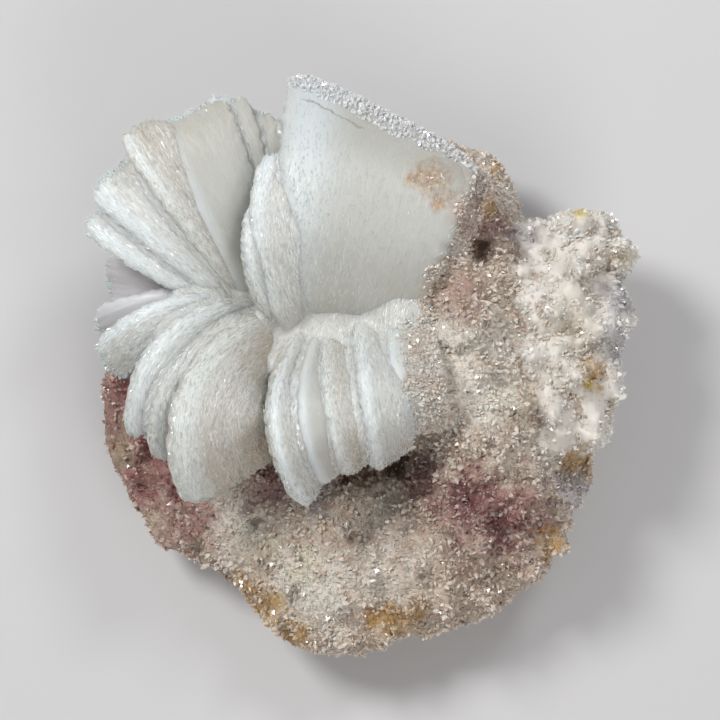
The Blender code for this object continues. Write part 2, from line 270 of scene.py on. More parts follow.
# Colour zones of the rock, later ones over earlier ones: x, y, radius (mm) and strength of their spots
zones = {
    "milky": {"colour": (0.80, 0.76, 0.69), "spots": (
        (5, 6, 9, 0.9), (8, 22, 9, 0.9), (10, 36, 9, 0.9), (9, -10, 8, 0.8), (-24, -33, 9, 0.6),
        (-10, -46, 11, 0.75), (17, 2, 9, 0.8), (23, -7, 10, 0.8), (27, 4, 8, 0.6), (4, -44, 8, 0.5),
        (38, -20, 9, 0.6), (31, 32, 5, 0.5), (41, 15, 12, 0.6), (42, 0, 10, 0.55))},
    "umber": {"colour": (0.33, 0.22, 0.17), "spots": (
        (33, -30, 12, 0.7), (24, -38, 9, 0.5), (14, -31, 7, 0.4))},
    "rose": {"colour": (0.37, 0.18, 0.165), "spots": (
        (-47, -11, 13, 1.0), (-43, -24, 12, 1.0), (-36, -33, 8, 0.8), (22, -28, 10, 0.8), (30, -32, 9, 0.75),
        (13, -24, 6, 0.6), (24, 27, 7, 0.55), (20, 12, 6, 0.35), (-18, -25, 7, 0.6))},
    "darkRed": {"colour": (0.13, 0.03, 0.035), "spots": (
        (-43.5, -19.5, 4.0, 0.9), (-38, -26, 3.5, 0.8), (-17, -24, 5, 0.6), (21, -27, 5.0, 0.8),
        (28, -33, 5, 0.85), (3, -52, 2.6, 0.95), (12, -21, 4, 0.5), (26, 26, 3, 0.5))},
    "ochre": {"colour": (0.50, 0.31, 0.11), "spots": (
        (-24, -47, 4.5, 0.9), (-19, -51, 5.5, 0.9), (-14, -56, 5, 0.9), (6, -53, 5, 0.9), (11, -52, 4, 0.8),
        (46, -3, 4, 0.85), (44, -21, 4.5, 0.85), (38, -37, 4, 0.85), (25, 30, 2.6, 0.8), (28, 39, 3, 0.7))},
    "sulphur": {"colour": (0.66, 0.50, 0.10), "spots": ((43.5, 29.0, 1.9, 1.0), (45.5, -5.0, 1.6, 0.9))},
    "cream": {"colour": (0.74, 0.67, 0.53), "spots": (
        (-11, -41, 5, 0.6), (-20, -38, 6, 0.5), (51.5, 20.5, 3.2, 0.95), (42, 8, 6, 0.5), (31, -8, 6, 0.4))},
    "silver": {"colour": (0.34, 0.34, 0.38), "spots": (
        (52, 12, 4.5, 0.9), (51, 3, 4.5, 0.85), (44, -27, 6, 0.7), (-10, -27, 6, 0.5), (33, 24, 4, 0.5))},
    # dark brown, and painted shade in the pit, in the hollow under the front petals and beside them
    "brownAndHollowShade": {"colour": (0.10, 0.05, 0.022), "spots": (
        (23.7, 22.1, 3.4, 1.0), (0, -22, 7, 1.0), (6, -20, 6, 1.0), (32, 21, 2.6, 0.6), (-12, -24, 4, 0.6))},
}


def zoned(tree, coords, base):
    # lays the zones over a base colour
    colour = base
    for zone in zones.values():
        colour = mixOn(tree, spotsOn(tree, coords, zone["spots"]), colour, zone["colour"])
    return colour


# Bare stone of the flanks: the heights above and below which there is only crust or only stone, how far that
# line wanders (mm), and the stone's colours
flanks = {"crusted": 19.0, "bare": 7.0, "wander": 24.0,
          "stone": ((0.34, (0.20, 0.145, 0.11)), (0.50, (0.34, 0.26, 0.19)), (0.62, (0.46, 0.36, 0.24)),
                    (0.75, (0.42, 0.38, 0.34)))}


def flanksOn(tree, coords, colour):
    # below the crust the rock is bare and brown
    parts = addNode(tree, "ShaderNodeSeparateXYZ")
    link(tree, coords, parts.inputs[0])
    wobble = wobbleOn(tree, noiseOn(tree, coords, 110.0, 4.0, 0.6), flanks["wander"] * mm)
    height = mathOn(tree, "ADD", parts.outputs["Z"], wobble)
    stone = rampOn(tree, noiseOn(tree, coords, 160.0, 5.0, 0.65), flanks["stone"])
    return mixOn(tree, fadeOn(tree, height, flanks["crusted"] * mm, flanks["bare"] * mm), colour, stone)


# Materials

# What every gypsum look shares: the shader's values, and spots and marks at places of the petals' frame
gypsum = {
    "shader": {"Subsurface Weight": 0.6, "Subsurface Radius": (1.0, 0.95, 0.85), "Subsurface Scale": 0.0020,
               "IOR": 1.52},
    "nearHeart": ((-15, 3, 9, 0.45), (-18, -16, 7, 0.5), (-2, -18, 6, 0.4)),
    "strokeSpots": ((-9, 14, 13, 1.0), (-5, 6, 10, 1.0), (-12, 28, 10, 0.9), (5, 6, 8, 0.8)),
    "paintedStrokeShade": (0.40, 0.39, 0.36), "paintedGlintColour": (0.90, 0.92, 0.91),
    "edge": ((27, 42, 10, 0.8), (26, 28, 9, 0.9), (22, 13, 9, 0.9), (19, -4, 9, 0.9)),
    "edgeColour": (0.44, 0.36, 0.31),
    "stain": ((13.4, 34.8, 5.2, 1.0), (15.6, 31.6, 3.8, 1.0), (11.4, 36.2, 2.8, 0.7)),
    "rust": ((0.36, (0.15, 0.07, 0.02)), (0.52, (0.40, 0.20, 0.05)), (0.68, (0.58, 0.40, 0.20))),
    "pitShadeSpots": ((-2.6, 41.0, 0.5, 0.6), (-1.8, 42.8, 0.4, 0.5), (-3.6, 45.4, 0.35, 0.5),
              (6.0, 36.0, 0.35, 0.4)),
    "pitShadeColour": (0.16, 0.13, 0.11),
    "crack": {"start": (-11.5, 51.4), "end": (1.0, 44.4), "width": 0.35, "wander": 2.8},
    "crackColour": (0.33, 0.31, 0.29),
}


def gypsumMaterial(name, look):
    # milky selenite: fibres run along V of the piece's own map, "crest" places a painted highlight along a
    # petal's left side
    material, tree, shader = newMaterial(name)
    uv = addNode(tree, "ShaderNodeUVMap", uv_map="fibres").outputs["UV"]
    fibres = noiseOn(tree, scaledOn(tree, uv, (80.0, 4.0, 1.0)), 1.0, 5.0, 0.65, 0.2)
    dashes = noiseOn(tree, scaledOn(tree, uv, (170.0, 26.0, 1.0)), 1.0, 2.0, 0.6, 0.3)
    coords = objectCoords(tree)
    clouds = noiseOn(tree, coords, 90.0, 4.0, 0.55)
    grains = noiseOn(tree, coords, 1300.0, 2.0, 0.6)
    crest = attributeOn(tree, "crest")
    lanes = addNode(tree, "ShaderNodeSeparateXYZ")
    link(tree, uv, lanes.inputs[0])
    # the warm tint sits at the tips and near the heart
    ends = rampOn(tree, lanes.outputs["Y"], ((0.1, 1.0), (0.4, 0.25), (0.65, 0.25), (0.88, 1.0)))
    warmth = mathOn(tree, "MULTIPLY", rampOn(tree, clouds, ((0.36, 0.3), (0.6, 1.0))), ends)
    body = mixOn(tree, warmth, look["face"], look["warm"])
    body = mixOn(tree, spotsOn(tree, coords, gypsum["nearHeart"], 2.0, 200.0), body, look["heart"])
    # painted shade in the low places of the fibres' bump, stronger at the tips and near the heart
    shade = rampOn(tree, fibres, ((0.32, look["depth"]), (0.58, 0.0)))
    shade = mathOn(tree, "MULTIPLY", shade, mathOn(tree, "ADD", ends, 0.25, True))
    body = mixOn(tree, shade, body, look["dim"])
    # painted highlight: the crest colour on each petal's left side, where the light falls
    body = mixOn(tree, crest, body, look["crest"])
    strokes, stroke = cellsOn(tree, scaledOn(tree, uv, (130.0, 48.0, 1.0)), 1.0)
    inside = rampOn(tree, strokes["Distance"], ((0.25, 1.0), (0.5, 0.0)))
    # glassy faces carry the painted glint and painted shade strokes only in the lower left of the broad face
    strokeSpots = mathOn(tree, "MULTIPLY", spotsOn(tree, coords, gypsum["strokeSpots"], 1.4, 160.0), 0.55)
    inside = mathOn(tree, "MULTIPLY", inside, mathOn(tree, "ADD", strokeSpots, look["strokes"], True))
    # bright strokes are painted glints, dark strokes painted shade between the fibres
    paintedGlints = rampOn(tree, stroke["Red"], ((0.68, 0.0), (0.72, 1.0)))
    dark = rampOn(tree, stroke["Blue"], ((0.80, 0.0), (0.84, 0.5)))
    body = mixOn(tree, mathOn(tree, "MULTIPLY", dark, inside), body, gypsum["paintedStrokeShade"])
    body = mixOn(tree, mathOn(tree, "MULTIPLY", paintedGlints, inside), body, gypsum["paintedGlintColour"])
    body = mixOn(tree, spotsOn(tree, coords, gypsum["edge"], 2.0, 220.0), body, gypsum["edgeColour"])
    rust = rampOn(tree, grains, gypsum["rust"])
    body = mixOn(tree, spotsOn(tree, coords, gypsum["stain"], 1.4, 300.0), body, rust)
    # dark spots painted for the shade inside tiny pits, which the surface doesn't have
    body = mixOn(tree, spotsOn(tree, coords, gypsum["pitShadeSpots"], 1.0), body, gypsum["pitShadeColour"])
    body = mixOn(tree, crackOn(tree, coords, **gypsum["crack"]), body, gypsum["crackColour"])
    link(tree, body, shader.inputs["Base Color"])
    cellMap = scaledOn(tree, uv, (look["cells"], look["cells"] * 0.42, 1.0))
    facets, cell = facetsOn(tree, cellMap, 1.0, look["tilt"], look["flashes"])
    height = mathOn(tree, "ADD", mathOn(tree, "MULTIPLY", fibres, 0.7), mathOn(tree, "MULTIPLY", dashes, 0.5))
    height = mathOn(tree, "ADD", height, mathOn(tree, "MULTIPLY", grains, 0.3))
    link(tree, bumpOn(tree, height, look["bump"], 0.0006, facets), shader.inputs["Normal"])
    gloss = rampOn(tree, cell, ((0.3, look["gloss"]), (0.9, look["gloss"] + 0.22)))
    link(tree, gloss, shader.inputs["Roughness"])
    setInputs(shader, gypsum["shader"])
    return material


def clearMaterial(name):
    material, tree, shader = newMaterial(name)
    setInputs(shader, {"Base Color": (0.66, 0.67, 0.64, 1.0), "Alpha": 0.25, "Roughness": 0.12, "IOR": 1.52})
    return material


def needleMaterial(name, tint):
    material, tree, shader = newMaterial(name)
    deep = tuple(channel * 0.8 for channel in tint)
    colour = rampOn(tree, attributeOn(tree, "tone"), ((0.0, deep), (1.0, tint)))
    link(tree, colour, shader.inputs["Base Color"])
    setInputs(shader, {"Roughness": 0.14, "IOR": 1.52, "Subsurface Weight": 0.3, "Subsurface Scale": 0.001,
                       "Coat Weight": 0.6, "Coat Roughness": 0.06})
    return material


speck = (0.18, 0.12, 0.10)    # the darkest grains of rock and crust


def druseMaterial(name, clear, murky, roughness, stainAndShadeShare):
    # crust of small crystals; "tone" differs from crystal to crystal, and the last argument is the share of the
    # zones' colours, stains together with the painted shade of the hollows
    material, tree, shader = newMaterial(name)
    coords = objectCoords(tree)
    tone = attributeOn(tree, "tone")
    middle = tuple((a + b) / 2 for a, b in zip(clear, murky))
    clouds = noiseOn(tree, coords, 120.0, 4.0, 0.6)
    base = mixOn(tree, rampOn(tree, clouds, ((0.35, 0.0), (0.65, 1.0))), murky, middle)
    # the zones bring stains and the painted shade of the pit and the hollows
    stainsAndHollowShade = mixOn(tree, stainAndShadeShare, base, flanksOn(tree, coords, zoned(tree, coords, base)))
    light = mixOn(tree, rampOn(tree, tone, ((0.35, 0.0), (1.0, 0.45))), stainsAndHollowShade, clear)
    dark = mixOn(tree, rampOn(tree, tone, ((0.0, 0.2), (0.25, 0.0))), light, speck)
    link(tree, dark, shader.inputs["Base Color"])
    setInputs(shader, {"Roughness": roughness, "IOR": 1.55, "Subsurface Weight": 0.5,
                       "Subsurface Radius": (1.0, 0.85, 0.75), "Subsurface Scale": 0.0012})
    return material


def rockMaterial(name):
    material, tree, shader = newMaterial(name)
    coords = objectCoords(tree)
    broad = noiseOn(tree, coords, 70.0, 5.0, 0.6)
    fine = noiseOn(tree, coords, 900.0, 4.0, 0.65)
    base = rampOn(tree, broad, (
        (0.32, (0.46, 0.35, 0.27)), (0.50, (0.60, 0.49, 0.40)), (0.68, (0.72, 0.65, 0.57))))
    # the zones bring stains and the painted shade of the pit and the hollows
    stainsAndHollowShade = flanksOn(tree, coords, zoned(tree, coords, base))
    speckled = mixOn(tree, rampOn(tree, fine, ((0.38, 0.35), (0.52, 0.0))), stainsAndHollowShade, speck)
    link(tree, speckled, shader.inputs["Base Color"])
    facets = facetsOn(tree, coords, 1100.0, 0.8, 0.2)[0]
    link(tree, bumpOn(tree, fine, 0.8, 0.0012, facets), shader.inputs["Normal"])
    setInputs(shader, {"Roughness": 0.42, "Subsurface Weight": 0.2, "Subsurface Scale": 0.001})
    return material


# Looks of the petals: colours of the face, its warm tint, the painted shade of the fibres' grooves, near the
# heart and the painted highlight on the crest;
# depth of the fibres' painted shade, bump, cells across, how far facets tilt and how many flash, roughness, and
# the share of strokes, which are painted glints and painted shade
looks = {
    "pale": {"face": (0.64, 0.66, 0.65), "warm": (0.60, 0.585, 0.54), "dim": (0.42, 0.41, 0.37),
             "heart": (0.58, 0.53, 0.45), "crest": (0.75, 0.80, 0.81), "depth": 0.22, "bump": 0.2,
             "cells": 100.0, "tilt": 0.6, "flashes": 0.28, "gloss": 0.1, "strokes": 0.55},
    "glassy": {"face": (0.51, 0.52, 0.495), "warm": (0.48, 0.47, 0.42), "dim": (0.43, 0.42, 0.38),
               "heart": (0.51, 0.47, 0.40), "crest": (0.65, 0.70, 0.71), "depth": 0.12, "bump": 0.14,
               "cells": 50.0, "tilt": 0.14, "flashes": 0.05, "gloss": 0.42, "strokes": 0.10},
    "tan": {"face": (0.62, 0.62, 0.59), "warm": (0.57, 0.52, 0.45), "dim": (0.38, 0.33, 0.27),
            "heart": (0.48, 0.39, 0.29), "crest": (0.73, 0.77, 0.76), "depth": 0.4, "bump": 0.3,
            "cells": 110.0, "tilt": 0.6, "flashes": 0.3, "gloss": 0.1, "strokes": 0.75},
    # grey: violet-grey gypsum for the petals behind the others and low in the gap; the tint is its own colour,
    # its darkness partly painted shade
    "grey": {"face": (0.56, 0.54, 0.57), "warm": (0.54, 0.52, 0.53), "dim": (0.48, 0.46, 0.47),
             "heart": (0.52, 0.48, 0.43), "crest": (0.63, 0.64, 0.66), "depth": 0.15, "bump": 0.14,
             "cells": 50.0, "tilt": 0.12, "flashes": 0.04, "gloss": 0.32, "strokes": 0.08},
}
petalLooks = {name: gypsumMaterial(name + "Gypsum", look) for name, look in looks.items()}
whiteNeedle = needleMaterial("whiteNeedle", (0.74, 0.76, 0.75))
tanNeedle = needleMaterial("tanNeedle", (0.68, 0.64, 0.57))
cloudyDruse = druseMaterial("cloudyDruse", (0.88, 0.88, 0.86), (0.78, 0.74, 0.67), 0.2, 0.8)
cloudySkin = druseMaterial("cloudySkin", (0.88, 0.88, 0.86), (0.80, 0.77, 0.71), 0.5, 0.8)
rosyDruse = druseMaterial("rosyDruse", (0.86, 0.82, 0.76), (0.62, 0.49, 0.39), 0.18, 1.0)
silverDruse = druseMaterial("silverDruse", (0.88, 0.89, 0.90), (0.77, 0.77, 0.78), 0.12, 0.0)
rockSkin = rockMaterial("rockSkin")
print("materials done")


# Petals. Each row has the name, the look, and in millimetres: root x y, tip x y z, bow of the middle to the
# right of the way out, height of the middle, widths at root and tip, thickness; then the roll in degrees
# (positive lifts the right-hand edge) and the slant (positive carries the tip's right-hand side further out)
petals = {
    "rings": 120, "segments": 116, "rootHeight": 27.0, "flatness": 0.45, "underside": 0.75, "thinning": 0.35,
    "laneWidth": 3.2, "teeth": 1.1, "nicks": 0.35,
    "relief": {"pale": 0.34, "tan": 0.45, "glassy": 0.2, "grey": 0.25},
    "ridge": {"pale": 0.25, "tan": 0.25, "glassy": 0.15, "grey": 0.2},
    "slope": {"pale": 0.6, "tan": 0.5, "glassy": 0.3, "grey": 0.3},
    "list": (
        ("thinLeft", "grey", (-21, 10), (-50.5, 16, 29), 1, 32, 7, 11, 4.5, 12, 0.5),
        ("lowLeftBack", "grey", (-21, 9.5), (-51.5, 5.5, 33), 2.5, 38, 7, 10, 5, 14, -1),
        ("lowLeftFront", "pale", (-20.5, 9), (-50, -1, 36.5), 4.5, 43.5, 6, 9.5, 6, 0, -1.5),
        ("fanLow", "pale", (-21, 10.5), (-49.5, 30.5, 44), -1, 43.5, 7, 15, 5.5, 10, -2),
        ("fanLeft", "pale", (-20, 11), (-47.4, 37.6, 46), -0.5, 46, 8, 16, 6, 6, -1),
        ("fanCrest", "tan", (-20, 11.5), (-42.5, 45.5, 48.5), -0.5, 48.3, 6, 11, 6, -10, 0),
        ("fanBroad", "glassy", (-19, 12), (-35, 47.4, 46.5), 0.5, 46, 10, 20, 8, -9, 1),
        ("fanInner", "glassy", (-18, 12), (-29, 49.5, 43.5), 1, 44, 9, 15, 6.5, -9, 1),
        ("fanRight", "glassy", (-17, 12), (-22.5, 50, 40), 1, 42, 8, 15, 6.5, -6, -5.5),
        ("fanGap", "grey", (-14, 12), (-16, 47, 27), 0, 29, 6, 8, 5, 0, 0),
        ("wideTop", "glassy", (-4, 6.5), (4.8, 48.3, 38.6), 0, 50.3, 27, 41, 13.4, 1, -10),
        ("topRight", "glassy", (9.5, 10), (19, 38.5, 36), 0, 46, 12, 16, 11, 8, -1),
        ("foldTall", "pale", (-8.5, 4.5), (-12.4, 39.5, 49.2), -4.8, 50.0, 10, 12.5, 8, 3, 1.5),
        ("foldShort", "pale", (-14, 7), (-19, 29, 49), -2.5, 48, 8, 6.5, 6.5, -20, 0),
        ("curlLeft", "pale", (-19, 9), (-40, -14, 37.5), 6.5, 46, 9, 14, 7, 18, 1),
        ("curlBack", "tan", (-18, 8), (-35, -19, 35.5), 6, 45.5, 9, 14, 7, 14, -1),
        ("curlBroad", "tan", (-14.5, 6.5), (-25, -24.5, 36.5), 7, 49.5, 11, 23, 8, 15, -2),
        ("frontCrest", "pale", (-9.5, 5), (-9, -26.5, 40), 5, 54.5, 8, 8, 8, 20, 0),
        ("frontGlass", "glassy", (-6.5, 5), (-5, -22.5, 40.5), 3, 54, 6, 8, 7.5, 10, 0),
        ("frontSilk", "tan", (-4, 5.5), (0.5, -20.5, 41), 1.5, 53, 8, 10, 8, 8, 0),
        ("frontBright", "pale", (2.5, 9), (6.5, -19.5, 41), 0.5, 53.5, 9, 10, 8.5, 10, 1),
        ("frontEnd", "glassy", (9, 10), (11.5, -13.5, 41), 0, 50, 9, 11, 9, 0, -2),
    ),
}


def roundedEnd(share, power):
    # 1 along the petal, closing to 0 at the end, the later and blunter the higher the power
    return math.sqrt(max(0.0, 1 - share**power))


class Petal:
    def __init__(self, row):
        (self.name, self.look, root, tip, bow, crest, self.rootWidth, self.tipWidth,
         self.thickness, roll, self.slant) = row
        self.root = Vector((*root, petals["rootHeight"]))
        self.tip = Vector(tip)
        right = (self.tip - self.root).cross(Vector((0, 0, 1))).normalized()
        middle = (self.root + self.tip) / 2
        crestPoint = Vector((*(middle + right * bow).xy, crest))
        self.control = 2 * crestPoint - middle
        self.roll = math.radians(roll)
        self.left = 1.0 if self.tip.y < self.root.y else -1.0    # sign of across at the image's left side
        self.seed = sum(ord(letter) for letter in self.name) * 1.37

    def axes(self, along):
        back = 1 - along
        place = self.root * back * back + self.control * 2 * along * back + self.tip * along * along
        tangent = ((self.control - self.root) * back + (self.tip - self.control) * along).normalized()
        side = tangent.cross(Vector((0, 0, 1))).normalized()
        up = side.cross(tangent)
        wide = side * math.cos(self.roll) + up * math.sin(self.roll)
        face = up * math.cos(self.roll) - side * math.sin(self.roll)
        return place, tangent, wide, face

    def point(self, along, across, above):
        place, tangent, wide, face = self.axes(along)
        back = 1 - along
        width = (self.rootWidth + (self.tipWidth - self.rootWidth) * along**0.8) / 2
        thick = self.thickness / 2 * (1 - petals["thinning"] * along)
        rootEnd = roundedEnd(back, 20)
        tipEnd = roundedEnd(along, 40)
        width *= rootEnd * tipEnd
        thick *= rootEnd * roundedEnd(along, 12)
        far = (1 - across * self.left) / 2    # 0 at the crest, 1 at the side that dives under the next petal
        thick *= petals["underside"] if above < 0 else 1 - petals["slope"][self.look] * far**1.2
        above = math.copysign(abs(above) ** petals["flatness"], above)
        lane = across * width / petals["laneWidth"]    # strands keep their place across the petal
        strand = noise.noise(Vector((lane * 1.3, along * 0.9, self.seed)))
        fibre = noise.noise(Vector((lane * 5.5, along * 3.0, self.seed + 7)))
        hair = noise.noise(Vector((lane * 16.0, along * 14.0, self.seed + 13)))
        relief = (0.7 * strand + 0.28 * fibre + 0.08 * hair) * (0.35 + 0.65 * along) * rootEnd
        relief *= petals["relief"][self.look]
        ridge = petals["ridge"][self.look] * self.crest(across) * (0.3 + 0.7 * along) * rootEnd
        teeth = noise.noise(Vector((lane * 3.5, self.seed, 3.1)))
        teeth += 0.5 * noise.noise(Vector((lane * 11, self.seed, 5.2)))
        edge = abs(across) ** 6
        nicks = noise.noise(Vector((along * 26, across * 2, self.seed + 21))) * edge
        reach = tangent * (self.slant * across * tipEnd * along * along + teeth * petals["teeth"] * along**8)
        nicked = petals["nicks"] * nicks * math.copysign(1, across)
        out = wide * (width * across * (1 + 0.02 * nicks) + nicked)
        lift = thick * above + relief * above + (ridge if above > 0 else 0.0)
        return place + out + face * lift + reach

    def crest(self, across):
        # rise along the petal's left side, and where that side's painted highlight goes
        return math.exp(-((across * self.left - 0.72) / 0.3) ** 2)


def ballOfRings(bm, rings, segments):
    # built face by face, because the faces of the built-in ball come in another order each run
    bottom = bm.verts.new((0, 0, -1))
    turns = [2 * math.pi * number / segments for number in range(segments)]
    rows = []
    for ring in range(1, rings):
        height = -math.cos(math.pi * ring / rings)
        radius = math.sin(math.pi * ring / rings)
        rows.append([bm.verts.new((radius * math.cos(turn), radius * math.sin(turn), height)) for turn in turns])
    top = bm.verts.new((0, 0, 1))
    for number in range(segments):
        after = (number + 1) % segments
        bm.faces.new((bottom, rows[0][after], rows[0][number]))
        for low, high in zip(rows, rows[1:]):
            bm.faces.new((low[number], low[after], high[after], high[number]))
        bm.faces.new((rows[-1][number], rows[-1][after], top))


def petalMesh(petal):
    bm = bmesh.new()
    ballOfRings(bm, petals["rings"], petals["segments"])
    layer = bm.loops.layers.uv.new("fibres")
    crest = bm.verts.layers.float.new("crest")
    spots = {}
    for vert in bm.verts:
        ring = math.hypot(vert.co.x, vert.co.y)
        across = vert.co.x / ring if ring > 1e-6 else 0.0
        above = vert.co.y / ring if ring > 1e-6 else 0.0
        along = clamp((vert.co.z + 1) / 2)
        lane = across * (petal.rootWidth + (petal.tipWidth - petal.rootWidth) * 0.6) / 30.0
        spots[vert] = (lane + petal.seed, along + (0.0 if above > 0 else 3.0))
        # painted highlight on the upper face along the left side, growing towards the tip
        vert[crest] = petal.crest(across) * clamp(0.35 + along) if above > 0 else 0.0
        vert.co = (petal.point(along, across, above) + centring) * mm
    mapFibres(bm, layer, spots)
    return linkMesh("petal_" + petal.name, bm, petalLooks[petal.look])


allPetals = [Petal(row) for row in petals["list"]]
petalPieces = {petal.name: petalMesh(petal) for petal in allPetals}
for piece in petalPieces.values():
    dress(piece, "flower")
print("petals done", len(allPetals))


# Massive gypsum that the petals spring from, and the clear dome over the rust: x, y, z, half sizes
heart = {"lumps": ((-15, 8.5, 26, 10, 8, 10), (-17, 4, 29, 9, 7, 9), (-3, 7.5, 28.5, 12, 9, 13),
                   (9, 9, 29, 11, 9, 17), (4, 24, 28, 17, 15, 16)),
         "dome": (15.2, 33.6, 50.4, 5.6, 5.4, 4.6), "middle": (-16, 8)}


def lumpMesh(name, lump):
    x, y, z, length, width, height = lump
    bm = bmesh.new()
    bmesh.ops.create_icosphere(bm, subdivisions=5, radius=1.0)
    layer = bm.loops.layers.uv.new("fibres")
    spots = {}
    for vert in bm.verts:
        swell = 1 + 0.05 * noise.noise(vert.co * 2.5 + Vector((x, y, z))) + 0.02 * noise.noise(vert.co * 9)
        place = Vector((x + vert.co.x * length * swell, y + vert.co.y * width * swell,
                        z + vert.co.z * height * swell))
        away = Vector((place.x - heart["middle"][0], place.y - heart["middle"][1]))
        spots[vert] = (math.atan2(away.y, away.x) * 0.8, away.length / 40)
        vert.co = (place + centring) * mm
    mapFibres(bm, layer, spots)
    return linkMesh(name, bm, petalLooks["pale"])


def lumpMeshes(name, lumps):
    return [lumpMesh(f"{name}_{number}", lump) for number, lump in enumerate(lumps, start=1)]


heartPieces = lumpMeshes("heart", heart["lumps"])
dome = lumpMesh("clearDome", heart["dome"])
coat(dome, clearMaterial("clearGypsum"))
dress(dome, "flower")
print("heart done")


def voxelSkin(sources, name, voxel, rounds):
    # one closed skin over the sources, smoothed so that it fills the creases between them
    bm = bmesh.new()
    for source in sources:
        bm.from_mesh(source)
    bmesh.ops.remove_doubles(bm, verts=bm.verts, dist=1e-6)
    mesh = bpy.data.meshes.new(name)
    bm.to_mesh(mesh)
    bm.free()
    piece = bpy.data.objects.new(name, mesh)
    bpy.context.scene.collection.objects.link(piece)
    remesh = piece.modifiers.new("skin", "REMESH")
    remesh.mode = "VOXEL"
    remesh.voxel_size = voxel
    depsgraph = bpy.context.evaluated_depsgraph_get()
    fine = bpy.data.meshes.new_from_object(piece.evaluated_get(depsgraph))
    piece.modifiers.clear()
    piece.data = fine
    bpy.data.meshes.remove(mesh)
    fine.name = name
    bm = bmesh.new()
    bm.from_mesh(fine)
    for _ in range(rounds):
        bmesh.ops.smooth_vert(bm, verts=bm.verts, factor=0.5,
                              use_axis_x=True, use_axis_y=True, use_axis_z=True)
    bm.normal_update()
    return piece, bm


def finishSkin(piece, bm, material, node):
    bm.to_mesh(piece.data)
    bm.free()
    piece.data.shade_smooth()
    coat(piece, material)
    dress(piece, node)


# Core: the fibres above and below the line of roots have a length, a drift to one side and a spread
fused = {"voxel": 0.0008, "rounds": 10, "sink": 0.2, "relief": 0.12, "crest": 0.2, "laneWidth": 15,
         "rootLine": 9.0, "upper": (41.0, -1.8, 1.467), "lower": (30.0, 5.0, 0.84)}


def fusedCore():
    # fills the creases between petals; its fibres run out from the line of roots
    sources = [each.data for each in list(petalPieces.values()) + heartPieces]
    piece, bm = voxelSkin(sources, "fusedCore", fused["voxel"], fused["rounds"])
    layer = bm.loops.layers.uv.new("fibres")
    crest = bm.verts.layers.float.new("crest")
    spots = {}
    for vert in bm.verts:
        place = vert.co / mm - centring
        length, drift, spread = fused["upper"] if place.y > fused["rootLine"] else fused["lower"]
        out = abs(place.y - fused["rootLine"]) / length
        lane = (place.x + drift * out) / (1 + spread * out)
        spots[vert] = (lane / fused["laneWidth"], out)
        # a faint painted highlight all over the core
        vert[crest] = fused["crest"]
        fibre = noise.noise(Vector((lane * 1.6, out * 3, 4.0)))
        fibre += 0.5 * noise.noise(Vector((lane * 5, out * 12, 9.0)))
        vert.co += vert.normal * (fused["relief"] * fibre - fused["sink"]) * mm
    mapFibres(bm, layer, spots)
    finishSkin(piece, bm, petalLooks["pale"], "flower")
    return piece


corePiece = fusedCore()
for piece in heartPieces:
    bpy.data.objects.remove(piece)
print("fused core done", len(corePiece.data.polygons))


# Rock and side growth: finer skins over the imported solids, in metres
rock = {"voxel": 0.0009, "rounds": 2, "lumps": 0.0013, "lumpSize": 0.0062, "pits": 0.0003, "pitSize": 0.0013}
side = {"voxel": 0.0006, "rounds": 7, "lumps": 0.0009, "lumpSize": 0.0042, "pits": 0.0002, "pitSize": 0.0011}
flatBack = 0.0006    # the back stays flat up to this height
# the pit, the hollow under the front petals and a shallow dip: x, y, radius and depth in millimetres
dents = {"places": ((23.7, 22.1, 2.6, 5.0), (0, -21, 6.5, 7.0), (7, -19, 5.0, 6.0), (21, -27, 6, 1.5)),
         "facing": 0.2, "floor": 0.015}


def pressDent(vert):
    if vert.normal.z <= dents["facing"] or vert.co.z <= dents["floor"]:
        return
    depth = 0.0
    here = petalsFrame(vert.co)
    for x, y, radius, deep in dents["places"]:
        apart = math.hypot(here[0] - x, here[1] - y)
        depth = max(depth, deep * math.exp(-((apart / radius) ** 2)))
    vert.co.z -= depth * mm


def fineCopy(node, name, make, material):
    piece, bm = voxelSkin([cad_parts[node].data], name, make["voxel"], make["rounds"])
    for vert in bm.verts:
        if vert.co.z < flatBack:
            continue
        big = noise.fractal(vert.co / make["lumpSize"], 0.9, 2.1, 4)
        small = noise.noise(vert.co / make["pitSize"])
        vert.co += vert.normal * (make["lumps"] * big + make["pits"] * small)
        pressDent(vert)
        vert.co.z = max(vert.co.z, 0.0)
    finishSkin(piece, bm, material, node)
    return piece


# Seam: a smoothed skin where the flower and the pale growth meet the rock, over two hidden lumps
seam = {"voxel": 0.001, "rounds": 9, "sink": 0.35, "floor": 0.001, "petals": ("frontEnd", "topRight"),
        "lumps": ((18, -3, 30, 10, 14, 17), (20, 14, 32, 9, 12, 16))}


def seamSkin():
    lumps = lumpMeshes("seam", seam["lumps"])
    sources = [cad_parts[name].data for name in ("matrix", "side_crystals")]
    sources += [petalPieces[name].data for name in seam["petals"]]
    sources += [lump.data for lump in lumps]
    piece, bm = voxelSkin(sources, "seamSkin", seam["voxel"], seam["rounds"])
    for lump in lumps:
        bpy.data.objects.remove(lump)
    for vert in bm.verts:
        if vert.co.z > seam["floor"]:
            vert.co -= vert.normal * seam["sink"] * mm
        pressDent(vert)
    finishSkin(piece, bm, rockSkin, "matrix")
    return piece


rockPiece = fineCopy("matrix", "rockSkin", rock, rockSkin)
seamPiece = seamSkin()
sidePiece = fineCopy("side_crystals", "sideSkin", side, cloudySkin)
print("rock done", len(rockPiece.data.polygons), len(sidePiece.data.polygons))


